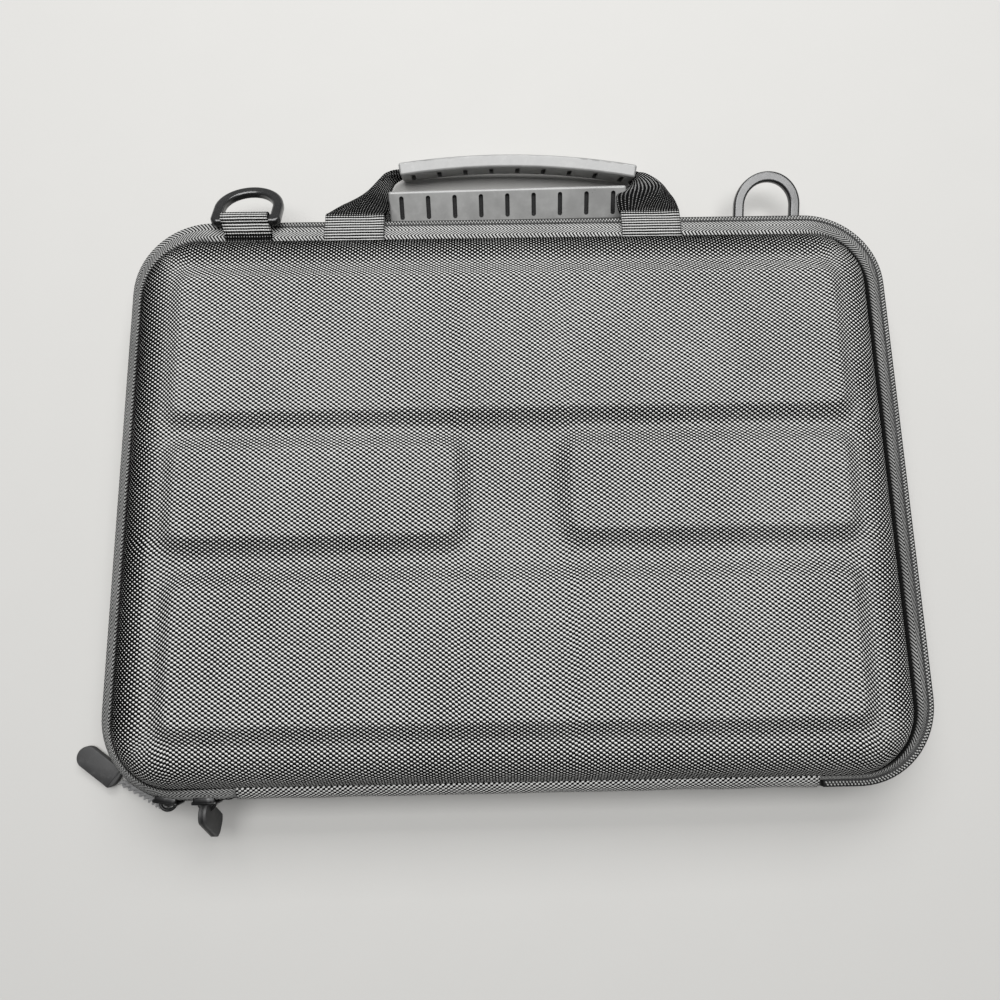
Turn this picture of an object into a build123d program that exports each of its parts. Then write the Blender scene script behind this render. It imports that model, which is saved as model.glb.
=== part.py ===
from build123d import *
import math
import os

# Zipped hard case for a small laptop, lying closed on its back shell, in millimetres.
# +X runs along the hinge, +Y from the hinge to the handles, +Z up.
# The origin is on the resting face, below the middle of the zip.
# "front" names the upper shell, which is the lid, and "back" the lower one.

# ---- driving dimensions ----
CASE_WIDTH = 318.0  # outside of the zip, along X
CASE_DEPTH = 236.0  # outside of the zip, along Y
CASE_HEIGHT = 44.0
PARTING_Z = CASE_HEIGHT / 2
ZIP_RADIUS = 32.0

RIM_LEFT, RIM_RIGHT = -153.3, 148.2  # the shells' rims, inside the zip
RIM_HINGE, RIM_HANDLE = -113.5, 106.3
RIM_RADIUS = 25.0
RIM_RISE = 6.0  # rim above the parting plane
WALL_RISE = 12.0  # rim to the floor of the grooves
WALL_DRAFT = 25.0  # degrees
EDGE_RADIUS = 12.0
PANEL_RISE = 4.0
PANEL_RUN = 7.0  # width of a panel's sloping side
PANEL_CORNER = 7.0

COVER = 0.8  # woven nylon
SHELL = 4.0  # cover and foam core
WALL = 4.5  # cover, core and lining

COIL_DEPTH = 2.4  # across the zip's teeth
COIL_TOP = 3.0  # coil above the parting plane
COIL_GAP = 0.5  # coil to the parting plane
TAPE = 0.8
SEAM = 4.5  # width of tape sewn under a rim
STRIP_LEFT, STRIP_RIGHT = -106.0, 110.5  # fabric hinge
STRIP = 1.0

STOP_LENGTH = 2.6
BINDING_OUTER, BINDING_INNER = 0.6, 7.0  # insets from the rim
BINDING_THICKNESS = 1.3
ELASTIC_WIDTH = 20.0
ELASTIC_SETBACK = 52.0  # band's middle from the shell's corner, along each side

WEBBING = 25.0
WEBBING_THICKNESS = 1.6
TAB_LEFT_X, TAB_RIGHT_X = -65.7, 60.2
GRIP_LENGTH = 107.3
GRIP_HEIGHT = 14.0
GRIP_THICKNESS = 5.6
GRIP_BOW = 352.0  # radius of its curve
GRIP_EDGE = 1.0
GRIP_SLOTS = 9
SLOT_PITCH = 12.0
SLOT_WIDTH, SLOT_HEIGHT = 2.0, 10.0
CHANNEL = (2.8, 11.4)  # thickness and height of a grip's way through for the strap
FOLDED = (2.2, 10.8)  # the strap folded in half along its length
FRONT_GRIP_MIDDLE = (4.8, 153.1, 10.0)
REAR_GRIP_MIDDLE = (-0.2, 134.4, 7.3)
FRONT_GRIP_LEAN, FRONT_GRIP_TURN = 21.5, -1.35  # degrees about X, then about Z
REAR_GRIP_LEAN, REAR_GRIP_TURN = -56.0, 0.9

RING_WIDTH = 29.4
RING_HEIGHT = 25.5
RING_BAND = 4.5
RING_THICKNESS = 3.2
RING_CORNER, RING_EYE_CORNER = 3.0, 0.8
RING_EDGE = 1.0
RING_TAB = 19.2
RING_TAB_THICKNESS = 1.2
LOOP_BORE = 2.8  # radius inside a tab's loop
RING_LEFT_BAR = (-111.4, 114.8, PARTING_Z + 8.0)
RING_RIGHT_BAR = (115.6, 119.8, PARTING_Z - 10.8)
RING_LEFT_DROOP = 26.0  # degrees below level
RING_RIGHT_DROOP = -20.0

SLIDER_LENGTH = 10.0
SLIDER_A_TURN = 10.0  # degrees round the zip's corner from the hinge side
SLIDER_B_X = -118.2
SLIDER_PLATE = 1.3
SLIDER_LIP = 0.3  # plate clear of the coil
SLIDER_HALF_HEIGHT = 4.3
BAIL_REACH = 3.7  # bail's bar outside the zip
BAIL_HALF_WIDTH = 3.4
BAIL_RADIUS = 0.7
PULL_LENGTH = 20.0
PULL_WIDTH = 8.7
PULL_THICKNESS = 4.0
PULL_B_LEAN = 28.0  # degrees off plumb
PULL_B_GAP = 0.4  # cord's loop to the pull
PULL_A_NEAR = (-160.9, -113.6)  # the two ends of pull A, which lies beside the case
PULL_A_FAR = (-177.6, -101.4)
CORD_RADIUS = 0.55  # one strand, through a bail
RUN_RADIUS = 1.1  # the twisted pair
PIN_REACH = 2.3  # strand outside the zip
PIN_DROP = 7.0  # strand below the parting plane
LOOP_OUTER, LOOP_INNER, LOOP_WIDTH = 2.05, 0.85, 2.4

# ---- worked out from them ----
RIM_CENTRE = ((RIM_LEFT + RIM_RIGHT) / 2, (RIM_HINGE + RIM_HANDLE) / 2)
RIM_WIDTH = RIM_RIGHT - RIM_LEFT
RIM_DEPTH = RIM_HANDLE - RIM_HINGE
RIM_Z = PARTING_Z + RIM_RISE
GROOVE_Z = RIM_Z + WALL_RISE
FLIP = Plane.XY.offset(PARTING_Z)
ZIP_CORNER = (ZIP_RADIUS - CASE_WIDTH / 2, ZIP_RADIUS - CASE_DEPTH / 2)

# Raised panels: left, right, hinge side and handle side of each flat top.
FRONT_PANELS = [
    (-131.0, 127.5, 26.5, 82.0),
    (-129.5, -24.0, -22.0, 11.5),
    (21.0, 125.5, -21.0, 11.5),
    (-127.5, 123.5, -90.5, -40.5),
]
BACK_PANELS = [(-129.0, 125.0, -90.5, 82.0)]

os.makedirs("parts", exist_ok=True)


def write(piece, label):
    """Name a finished piece and save it."""
    piece.label = label
    export_step(piece, f"parts/{label}.step")


def rim_outline(inset, mode=Mode.ADD):
    """Rounded rectangle of a shell's rim, drawn in by inset."""
    with Locations(RIM_CENTRE):
        RectangleRounded(RIM_WIDTH - 2 * inset, RIM_DEPTH - 2 * inset, RIM_RADIUS - inset, mode=mode)


def zip_outline(inset, mode=Mode.ADD):
    """Rounded rectangle of the zip's outside, drawn in by inset."""
    RectangleRounded(CASE_WIDTH - 2 * inset, CASE_DEPTH - 2 * inset, ZIP_RADIUS - inset, mode=mode)


def ring(outline, outer, inner, low, high):
    """Flat ring between two insets of an outline, from height low to height high."""
    with BuildPart() as band:
        with BuildSketch(Plane.XY.offset(low)):
            outline(outer)
            outline(inner, mode=Mode.SUBTRACT)
        extrude(amount=high - low)
    return band.part


def turned_over(solid):
    """The same piece on the other side of the parting plane."""
    with BuildPart() as copy:
        mirror(solid, about=FLIP, mode=Mode.ADD)
    return copy.part


# ---- the two moulded shells ----
def shell_form(depth, panels):
    """Solid bounded by the surface that lies depth inside the front shell's outside."""
    wall_shift = depth / math.cos(math.radians(WALL_DRAFT))
    slope = math.atan2(PANEL_RUN, PANEL_RISE)
    foot = PANEL_RUN - depth * (1 - math.sin(slope)) / math.cos(slope)
    with BuildPart() as form:
        with BuildSketch(Plane.XY.offset(RIM_Z)):
            rim_outline(wall_shift)
        extrude(amount=WALL_RISE - depth, taper=WALL_DRAFT)
        fillet(form.edges().group_by(Axis.Z)[-1], radius=EDGE_RADIUS - depth)
        for left, right, near, far in panels:
            with BuildSketch(Plane.XY.offset(GROOVE_Z - depth)):
                with Locations(((left + right) / 2, (near + far) / 2)):
                    RectangleRounded(right - left + 2 * foot, far - near + 2 * foot, PANEL_CORNER + foot)
            extrude(amount=PANEL_RISE, taper=math.degrees(slope))
    return form.part


def shell_layer(outer, inner, flipped):
    """Material between two forms, turned over for the back shell."""
    with BuildPart() as layer:
        add(outer)
        add(inner, mode=Mode.SUBTRACT)
        if flipped:
            mirror(about=FLIP, mode=Mode.REPLACE)
    return layer.part


SHELLS = (("front", FRONT_PANELS, False), ("back", BACK_PANELS, True))
core_inside = shell_form(SHELL, [])
lining_inside = shell_form(WALL, [])
for half, panels, flipped in SHELLS:
    core_outside = shell_form(COVER, panels)
    write(shell_layer(shell_form(0, panels), core_outside, flipped), f"{half}_cover")
    write(shell_layer(core_outside, core_inside, flipped), f"{half}_core")
    write(shell_layer(core_inside, lining_inside, flipped), f"{half}_lining")


# ---- zip tapes, coils and rim bindings ----
COIL_HIGH = PARTING_Z + COIL_TOP
TAPE_HIGH = RIM_Z + 0.2
NEAR_HINGE = -100.0  # everything of the rims and zip beyond this is on the hinge side


def ramp(rim_z, zip_z):
    """Solid under the slope from the rim's outline down to the coil's inner face."""
    with BuildPart() as solid:
        with BuildSketch(Plane.XY.offset(zip_z)):
            zip_outline(COIL_DEPTH)
        with BuildSketch(Plane.XY.offset(rim_z)):
            rim_outline(0)
        loft(ruled=True)
    return solid.part


def hinge_window(left, right):
    """Block over the stretch of the hinge side from left to right, to cut with."""
    with BuildPart() as block:
        with BuildSketch():
            with Locations(((left + right) / 2, NEAR_HINGE)):
                Rectangle(right - left, 2 * ZIP_RADIUS, align=(Align.CENTER, Align.MAX))
        extrude(amount=CASE_HEIGHT)
    return block.part


def zip_end_sector():
    """Block over the zip's last stretch, from past the first slider to the hinge."""
    cut = math.radians(SLIDER_A_TURN + 15)
    reach = 2 * ZIP_RADIUS
    x, y = ZIP_CORNER
    with BuildPart() as block:
        with BuildSketch():
            with BuildLine():
                Polyline(
                    (x, y),
                    (x - reach * math.sin(cut), y - reach * math.cos(cut)),
                    (STRIP_LEFT, y - reach),
                    (STRIP_LEFT, y),
                    close=True,
                )
            make_face()
        extrude(amount=CASE_HEIGHT)
    return block.part


def front_tape_ring():
    """Sloping tape with its seam under the rim, open at the hinge."""
    with BuildPart() as tape:
        add(ramp(TAPE_HIGH, COIL_HIGH))
        with BuildSketch(Plane.XY.offset(COIL_HIGH - TAPE)):
            zip_outline(COIL_DEPTH)
        extrude(amount=TAPE)
        add(ramp(TAPE_HIGH - TAPE, COIL_HIGH - TAPE), mode=Mode.SUBTRACT)
        with BuildSketch(Plane.XY.offset(PARTING_Z)):
            rim_outline(0)
        extrude(amount=2 * RIM_RISE, mode=Mode.SUBTRACT)
        add(ring(rim_outline, 0, SEAM, RIM_Z - TAPE, RIM_Z))
        add(hinge_window(STRIP_LEFT, STRIP_RIGHT), mode=Mode.SUBTRACT)
    return tape.part


def front_coil_ring():
    """Row of teeth as one band, open at the hinge."""
    with BuildPart() as coil:
        add(ring(zip_outline, 0, COIL_DEPTH, PARTING_Z + COIL_GAP, COIL_HIGH))
        add(hinge_window(STRIP_LEFT - STOP_LENGTH, STRIP_RIGHT + STOP_LENGTH), mode=Mode.SUBTRACT)
    return coil.part


def split_off(solid, cutter, mode):
    """The part of a solid inside a cutter, or with SUBTRACT the part outside it."""
    with BuildPart() as piece:
        add(solid)
        add(cutter, mode=mode)
    return piece.part


tape_ring = front_tape_ring()
coil_ring = front_coil_ring()
zip_end = zip_end_sector()
write(turned_over(tape_ring), "back_tape")
write(turned_over(coil_ring), "back_coil")
write(split_off(tape_ring, zip_end, Mode.SUBTRACT), "front_tape")
write(split_off(coil_ring, zip_end, Mode.SUBTRACT), "front_coil")
write(split_off(tape_ring, zip_end, Mode.INTERSECT), "front_tape_end")
write(split_off(coil_ring, zip_end, Mode.INTERSECT), "front_coil_end")

binding_low = RIM_Z - TAPE - BINDING_THICKNESS
binding = ring(rim_outline, BINDING_OUTER, BINDING_INNER, binding_low, RIM_Z - TAPE)
write(turned_over(binding), "back_binding")
with BuildPart() as front_binding:
    add(binding)
write(front_binding.part, "front_binding")

with BuildPart() as zip_end_stops:
    for x in (STRIP_LEFT - STOP_LENGTH / 2, STRIP_RIGHT + STOP_LENGTH / 2):
        with BuildSketch(Plane.XY.offset(PARTING_Z - COIL_TOP)):
            with Locations((x, -CASE_DEPTH / 2 + COIL_DEPTH / 2)):
                Rectangle(STOP_LENGTH, COIL_DEPTH)
        extrude(amount=COIL_TOP - COIL_GAP)
write(zip_end_stops.part, "zip_end_stops")

# ---- fabric hinge, outside and inside ----
STRIP_FACE_Y = -CASE_DEPTH / 2 + 0.1
HINGE_LENGTH = STRIP_RIGHT - STRIP_LEFT
upper_half = [
    (STRIP_FACE_Y, COIL_HIGH + 0.2),
    (RIM_HINGE + 0.1, RIM_Z),
    (RIM_HINGE + SEAM, RIM_Z),
    (RIM_HINGE + SEAM, RIM_Z - TAPE),
    (RIM_HINGE + 0.4, RIM_Z - TAPE),
    (STRIP_FACE_Y + STRIP, COIL_HIGH - 0.2),
]
lower_half = [(y, 2 * PARTING_Z - z) for y, z in reversed(upper_half)]
with BuildPart() as hinge_strip:
    with BuildSketch(Plane.YZ.offset(STRIP_LEFT)):
        with BuildLine():
            Polyline(*upper_half, *lower_half, close=True)
        make_face()
    extrude(amount=HINGE_LENGTH)
write(hinge_strip.part, "hinge_strip")

LINING_STRIP_Y = RIM_HINGE + BINDING_OUTER + 0.9
with BuildPart() as hinge_lining:
    with BuildSketch(Plane.YZ.offset(STRIP_LEFT)):
        with Locations((LINING_STRIP_Y, PARTING_Z)):
            Rectangle(TAPE, 2 * (binding_low - PARTING_Z))
    extrude(amount=HINGE_LENGTH)
write(hinge_lining.part, "hinge_lining")

# ---- elastic straps across the back shell's corners ----
with BuildPart() as corner_straps:
    with BuildSketch(Plane.XY.offset(2 * PARTING_Z - RIM_Z)):
        for side_x, side_y in ((-1, -1), (1, -1), (-1, 1), (1, 1)):
            corner_x = RIM_CENTRE[0] + side_x * (RIM_WIDTH / 2 - ELASTIC_SETBACK / 2)
            corner_y = RIM_CENTRE[1] + side_y * (RIM_DEPTH / 2 - ELASTIC_SETBACK / 2)
            with Locations(Location((corner_x, corner_y, 0), (0, 0, -45 * side_x * side_y))):
                Rectangle(2 * ELASTIC_SETBACK, ELASTIC_WIDTH)
        rim_outline(SEAM, mode=Mode.INTERSECT)
    extrude(amount=TAPE)
write(corner_straps.part, "corner_straps")


# ---- handles ----
def arch(length, thickness, height, edge):
    """Bar bowed towards +Y, its middle at the origin, standing height tall along Z."""
    half_turn = length / 2 / GRIP_BOW
    far = GRIP_BOW + thickness
    with BuildPart() as bar:
        with BuildSketch(Plane.XY.offset(-height / 2)):
            with Locations((0, -GRIP_BOW)):
                Circle(GRIP_BOW + thickness / 2)
                Circle(GRIP_BOW - thickness / 2, mode=Mode.SUBTRACT)
            with BuildLine():
                Polyline(
                    (0, -GRIP_BOW),
                    (far * math.sin(half_turn), far * math.cos(half_turn) - GRIP_BOW),
                    (0, far),
                    (-far * math.sin(half_turn), far * math.cos(half_turn) - GRIP_BOW),
                    close=True,
                )
            make_face(mode=Mode.INTERSECT)
        extrude(amount=height)
        if edge:
            fillet(bar.edges(), radius=edge)
    return bar.part


def make_grip():
    """Moulded grip with a strap channel and a row of slots on its palm side."""
    with BuildPart() as grip:
        add(arch(GRIP_LENGTH, GRIP_THICKNESS, GRIP_HEIGHT, GRIP_EDGE))
        add(arch(GRIP_LENGTH + 2, CHANNEL[0], CHANNEL[1], 0), mode=Mode.SUBTRACT)
        for step in range(GRIP_SLOTS):
            turn = (step - (GRIP_SLOTS - 1) / 2) * SLOT_PITCH / GRIP_BOW
            inward = (-math.sin(turn), -math.cos(turn), 0)
            start = GRIP_BOW - GRIP_THICKNESS / 2 - 1
            place = (start * math.sin(turn), start * math.cos(turn) - GRIP_BOW, 0)
            with BuildSketch(Plane(origin=place, x_dir=(0, 0, 1), z_dir=[-v for v in inward])):
                SlotOverall(SLOT_HEIGHT, SLOT_WIDTH)
            extrude(amount=1 + (GRIP_THICKNESS - CHANNEL[0]) / 2 + 0.4, mode=Mode.SUBTRACT)
    return grip.part


def make_strap(place, tab_low, tab_drop, slope):
    """Webbing strap of one handle: two tabs, two sloping legs and the run through the grip.

    place is the grip's location, tab_low the underside of the tabs at the rim, tab_drop how
    far they fall to the zip's edge, and slope the legs' fall in degrees.
    """
    overlap = 1.5  # legs into the tabs
    root_y = CASE_DEPTH / 2 - 0.4
    with BuildPart() as strap:
        with Locations(place):
            add(arch(GRIP_LENGTH + 9, FOLDED[0], FOLDED[1], 0))
        for tab_x, side in ((TAB_LEFT_X, 1), (TAB_RIGHT_X, -1)):
            end_x = place.position.X - side * GRIP_LENGTH / 2
            with BuildSketch(Plane.YZ.offset(tab_x - WEBBING / 2)):
                with BuildLine():
                    Polyline(
                        (RIM_HANDLE - 0.1, tab_low),
                        (RIM_HANDLE - 0.1, tab_low + WEBBING_THICKNESS),
                        (root_y, tab_low - tab_drop + 1.6 * WEBBING_THICKNESS),
                        (root_y, tab_low - tab_drop),
                        close=True,
                    )
                make_face()
            extrude(amount=WEBBING)
            fall = math.radians(slope)
            reach = (place.position.Y - root_y) / math.cos(fall)
            leg = Plane(
                origin=(0, root_y, tab_low - tab_drop),
                x_dir=(1, 0, 0),
                z_dir=(0, math.sin(fall), math.cos(fall)),
            )
            with BuildSketch(leg):
                with BuildLine():
                    Polyline(
                        (tab_x - side * WEBBING / 2, -overlap),
                        (tab_x + side * WEBBING / 2, -overlap),
                        (end_x - side * 1.6, 0.62 * reach),
                        (end_x - side * 1.6, 0.95 * reach),
                        (end_x - side * 6, 0.95 * reach),
                        (tab_x, 0.55 * reach),
                        close=True,
                    )
                make_face()
            extrude(amount=1.8 * WEBBING_THICKNESS)
    return strap.part


front_place = Location(FRONT_GRIP_MIDDLE, (0, 0, FRONT_GRIP_TURN)) * Rotation(FRONT_GRIP_LEAN, 0, 0)
rear_place = Location(REAR_GRIP_MIDDLE, (0, 0, REAR_GRIP_TURN)) * Rotation(REAR_GRIP_LEAN, 0, 0)
for half, place in (("front", front_place), ("rear", rear_place)):
    with BuildPart() as grip:
        with Locations(place):
            add(make_grip())
    write(grip.part, f"{half}_grip")

write(make_strap(front_place, RIM_Z + 0.6, 0.8, 30), "front_strap")
write(make_strap(rear_place, PARTING_Z - 8.2, 1.2, 9), "rear_strap")


# ---- strap rings and their tabs ----
def ring_outline(half, low, corner, mode=Mode.ADD):
    """Face inside a D: half its width, the height of its straight side, and its two corners."""
    middle = RING_HEIGHT - (RING_BAND + RING_WIDTH) / 2
    with BuildSketch() as face:
        with BuildLine():
            Polyline((-half, middle), (-half, low), (half, low), (half, middle))
            RadiusArc((half, middle), (-half, middle), -half)
        make_face()
        fillet(face.vertices().group_by(Axis.Y)[0], radius=corner)
    add(face.sketch, mode=mode)


def make_ring():
    """D ring in the XY plane: the middle of its straight bar at the origin, the bow towards +Y."""
    bar = RING_BAND / 2
    with BuildPart() as ring_part:
        with BuildSketch(Plane.XY.offset(-RING_THICKNESS / 2)):
            ring_outline(RING_WIDTH / 2, -bar, RING_CORNER)
            ring_outline(RING_WIDTH / 2 - RING_BAND, bar, RING_EYE_CORNER, mode=Mode.SUBTRACT)
        extrude(amount=RING_THICKNESS)
        fillet(ring_part.edges().group_by(Axis.Z)[-1], radius=RING_EDGE)
        fillet(ring_part.edges().group_by(Axis.Z)[0], radius=RING_EDGE)
    return ring_part.part


def make_ring_tab(bar, low):
    """Webbing loop round a ring's bar, with a flat tail to the rim at height low."""
    x, y, z = bar
    start_y = RIM_HANDLE - 0.2
    with BuildPart() as tab:
        with BuildSketch(Plane.XY.offset(low)):
            with Locations((x, start_y)):
                Rectangle(RING_TAB, y - start_y, align=(Align.CENTER, Align.MIN))
        extrude(amount=2 * RING_TAB_THICKNESS)
        with BuildSketch(Plane.YZ.offset(x - RING_TAB / 2)):
            with Locations((y, z)):
                Circle(LOOP_BORE + RING_TAB_THICKNESS)
        extrude(amount=RING_TAB)
        with BuildSketch(Plane.YZ.offset(x - RING_TAB / 2)):
            with Locations((y, z)):
                Circle(LOOP_BORE)
        extrude(amount=RING_TAB, mode=Mode.SUBTRACT)
    return tab.part


for name, bar, droop, tab_low in (
    ("left", RING_LEFT_BAR, RING_LEFT_DROOP, RIM_Z + 0.75),
    ("right", RING_RIGHT_BAR, RING_RIGHT_DROOP, PARTING_Z - 9.3),
):
    with BuildPart() as ring_piece:
        with Locations(Location(bar) * Rotation(-droop, 0, 0)):
            add(make_ring())
    write(ring_piece.part, f"ring_{name}")
    write(make_ring_tab(bar, tab_low), f"ring_{name}_tab")


# ---- sliders and their pulls ----
def make_slider():
    """Slider at the origin on a zip that runs along X with its outside facing -Y.

    An outer plate with two lips, an inner plate and the web between them leave the coil's way
    free. The bail is a short bar on the outer plate.
    """
    face = SLIDER_LIP + SLIDER_PLATE
    lip_height, lip_depth = 1.0, 3.8
    leg_width = 1.2
    with BuildPart() as slider:
        with BuildSketch(Plane.YZ.offset(-SLIDER_LENGTH / 2)):
            with Locations((-face, 0)):
                Rectangle(SLIDER_PLATE, 2 * SLIDER_HALF_HEIGHT, align=(Align.MIN, Align.CENTER))
            for side in (-1, 1):
                with Locations((-face, side * (SLIDER_HALF_HEIGHT - lip_height / 2))):
                    Rectangle(lip_depth, lip_height, align=(Align.MIN, Align.CENTER))
            with Locations((lip_depth, 0)):
                Rectangle(SLIDER_PLATE, 2 * lip_height)
            with Locations((-SLIDER_LIP - SLIDER_PLATE / 2, 0)):
                Rectangle(lip_depth + SLIDER_PLATE / 2, COIL_GAP, align=(Align.MIN, Align.CENTER))
        extrude(amount=SLIDER_LENGTH)
        for x in (-BAIL_HALF_WIDTH, BAIL_HALF_WIDTH):
            with BuildSketch(Plane.XY.offset(-BAIL_RADIUS)):
                with Locations((x, -BAIL_REACH)):
                    Rectangle(leg_width, BAIL_REACH - SLIDER_LIP, align=(Align.CENTER, Align.MIN))
            extrude(amount=2 * BAIL_RADIUS)
        with BuildSketch(Plane.YZ.offset(-BAIL_HALF_WIDTH)):
            with Locations((-BAIL_REACH, 0)):
                Circle(BAIL_RADIUS)
        extrude(amount=2 * BAIL_HALF_WIDTH)
    return slider.part


def make_pull():
    """Rubber pull tab lying along +X from the origin, with a round far end."""
    with BuildPart() as pull:
        with BuildSketch(Plane.XY.offset(-PULL_THICKNESS / 2)):
            with BuildLine():
                Polyline(
                    (PULL_LENGTH - PULL_WIDTH / 2, PULL_WIDTH / 2),
                    (1.5, PULL_WIDTH / 2),
                    (0, PULL_WIDTH / 2 - 1.5),
                    (0, 1.5 - PULL_WIDTH / 2),
                    (1.5, -PULL_WIDTH / 2),
                    (PULL_LENGTH - PULL_WIDTH / 2, -PULL_WIDTH / 2),
                )
                RadiusArc(
                    (PULL_LENGTH - PULL_WIDTH / 2, -PULL_WIDTH / 2),
                    (PULL_LENGTH - PULL_WIDTH / 2, PULL_WIDTH / 2),
                    -PULL_WIDTH / 2,
                )
            make_face()
        extrude(amount=PULL_THICKNESS)
        fillet(pull.edges().group_by(Axis.Z)[-1], radius=1.0)
        fillet(pull.edges().group_by(Axis.Z)[0], radius=1.0)
    return pull.part


slider_b_place = Location((SLIDER_B_X, -CASE_DEPTH / 2, PARTING_Z))
slider_a_place = (
    Location((*ZIP_CORNER, PARTING_Z)) * Rotation(0, 0, -SLIDER_A_TURN) * Location((0, -ZIP_RADIUS, 0))
)
for name, place in (("a", slider_a_place), ("b", slider_b_place)):
    with BuildPart() as slider_piece:
        with Locations(place):
            add(make_slider())
    write(slider_piece.part, f"slider_{name}")

# Slider A's cord drops through its bail and runs to a pull lying beside the case.
pin_turn = math.radians(SLIDER_A_TURN)
pin_x = ZIP_CORNER[0] - (ZIP_RADIUS + PIN_REACH) * math.sin(pin_turn)
pin_y = ZIP_CORNER[1] - (ZIP_RADIUS + PIN_REACH) * math.cos(pin_turn)
pin_low = PARTING_Z - PIN_DROP
pull_a_near = Vector(*PULL_A_NEAR, PULL_THICKNESS / 2 + 0.4)
pull_a_along = Vector(*PULL_A_FAR) - Vector(*PULL_A_NEAR)
pull_a_heading = math.degrees(math.atan2(pull_a_along.Y, pull_a_along.X))
run_start = Vector(pin_x, pin_y, pin_low)
run = pull_a_near - run_start
with BuildPart() as pull_a_cord:
    with BuildSketch(Plane.XY.offset(pin_low)):
        with Locations((pin_x, pin_y)):
            Circle(CORD_RADIUS)
    extrude(amount=PARTING_Z + 2.0 - pin_low)
    with BuildSketch(Plane(origin=run_start, z_dir=run)):
        Circle(RUN_RADIUS)
    extrude(amount=run.length - 0.9)
    with BuildSketch(Plane.XY.offset(pin_low - RUN_RADIUS)):
        with Locations((pin_x, pin_y)):
            Circle(RUN_RADIUS)
    extrude(amount=1.6 * RUN_RADIUS)
write(pull_a_cord.part, "pull_a_cord")
with BuildPart() as pull_a_tab:
    with Locations(Location(pull_a_near) * Rotation(0, 0, pull_a_heading)):
        add(make_pull())
write(pull_a_tab.part, "pull_a_tab")

# Slider B's cord loops round its bail and the pull hangs over the edge.
bail = (SLIDER_B_X, -CASE_DEPTH / 2 - BAIL_REACH, PARTING_Z)
lean = math.radians(PULL_B_LEAN)
hang = Vector(0, -math.sin(lean), -math.cos(lean))
tab_reach = LOOP_OUTER + PULL_B_GAP
with BuildPart() as pull_b_cord:
    with BuildSketch(Plane.YZ.offset(SLIDER_B_X - LOOP_WIDTH / 2)):
        with Locations(bail[1:]):
            Circle(LOOP_OUTER)
            Circle(LOOP_INNER, mode=Mode.SUBTRACT)
    extrude(amount=LOOP_WIDTH)
    with BuildSketch(Plane(origin=Vector(*bail) + hang * (LOOP_OUTER - 0.5), z_dir=hang)):
        Circle(0.8)
    extrude(amount=tab_reach - LOOP_OUTER + 0.5)
write(pull_b_cord.part, "pull_b_cord")
tab_plane = Plane(origin=Vector(*bail) + hang * tab_reach, x_dir=hang, z_dir=hang.cross(Vector(-1, 0, 0)))
with BuildPart() as pull_b_tab:
    with Locations(tab_plane):
        add(make_pull())
write(pull_b_tab.part, "pull_b_tab")
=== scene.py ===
import math

import bmesh
import bpy
from mathutils import Matrix, Vector, noise


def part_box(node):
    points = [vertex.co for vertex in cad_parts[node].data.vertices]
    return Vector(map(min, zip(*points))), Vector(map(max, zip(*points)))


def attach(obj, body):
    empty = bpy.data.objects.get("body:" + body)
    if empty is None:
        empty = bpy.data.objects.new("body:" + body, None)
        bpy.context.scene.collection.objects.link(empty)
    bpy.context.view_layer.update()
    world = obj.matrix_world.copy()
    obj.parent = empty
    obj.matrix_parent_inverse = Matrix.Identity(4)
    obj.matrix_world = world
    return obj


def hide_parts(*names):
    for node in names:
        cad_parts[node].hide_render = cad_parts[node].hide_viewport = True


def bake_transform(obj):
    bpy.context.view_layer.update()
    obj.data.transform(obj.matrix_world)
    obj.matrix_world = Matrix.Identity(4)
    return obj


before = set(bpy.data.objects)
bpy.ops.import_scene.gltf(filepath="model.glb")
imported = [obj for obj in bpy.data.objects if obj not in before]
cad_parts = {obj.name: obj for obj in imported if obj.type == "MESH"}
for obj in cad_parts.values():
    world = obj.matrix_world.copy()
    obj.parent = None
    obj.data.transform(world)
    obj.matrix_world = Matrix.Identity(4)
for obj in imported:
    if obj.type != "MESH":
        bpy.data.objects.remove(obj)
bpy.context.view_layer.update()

bl_info = {
    "name": "Zipped Laptop Case",
    "version": (1, 0, 0),
    "blender": (4, 5, 0),
    "location": "3D View > Sidebar > Laptop Case",
    "description": "Dresses a moulded laptop case with woven, sewn and moulded pieces",
    "category": "Object",
}

MM = 0.001
PARTING = 22.0
RIM_RADIUS, ZIP_RADIUS = 25.0, 32.0
WEBBING, RING_WEBBING = 25.0, 19.5


def corners_mm(node):
    """Lowest and highest corner of a frame node, in millimetres."""
    return tuple(tuple(value / MM for value in corner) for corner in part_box(node))


COVER_LOW, COVER_HIGH = corners_mm("front_cover")
STRIP_LOW, STRIP_HIGH = corners_mm("hinge_strip")
RIM_Z = COVER_LOW[2]
# The cloth is pulled in a little under the handles, and the zip sits tighter than its solid band.
RIM_LOW, RIM_HIGH = COVER_LOW[:2], (COVER_HIGH[0], COVER_HIGH[1] - 0.5)
ZIP_LOW, ZIP_HIGH = (-159.0, -118.0), (158.5, 116.9)


# ---- sizes and colours that can be changed ----
def size(name, description, millimetres, least=0.0):
    return bpy.props.FloatProperty(
        name=name, description=description, default=millimetres * MM, min=least * MM, soft_max=0.1,
        subtype="DISTANCE", unit="LENGTH",
    )


def angle(name, description, degrees, most):
    return bpy.props.FloatProperty(
        name=name, description=description, default=math.radians(degrees), min=0.0,
        max=math.radians(most), subtype="ANGLE", unit="ROTATION",
    )


def colour(name, description, default):
    return bpy.props.FloatVectorProperty(
        name=name, description=description, subtype="COLOR", size=3, min=0, max=1, default=default
    )


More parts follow.
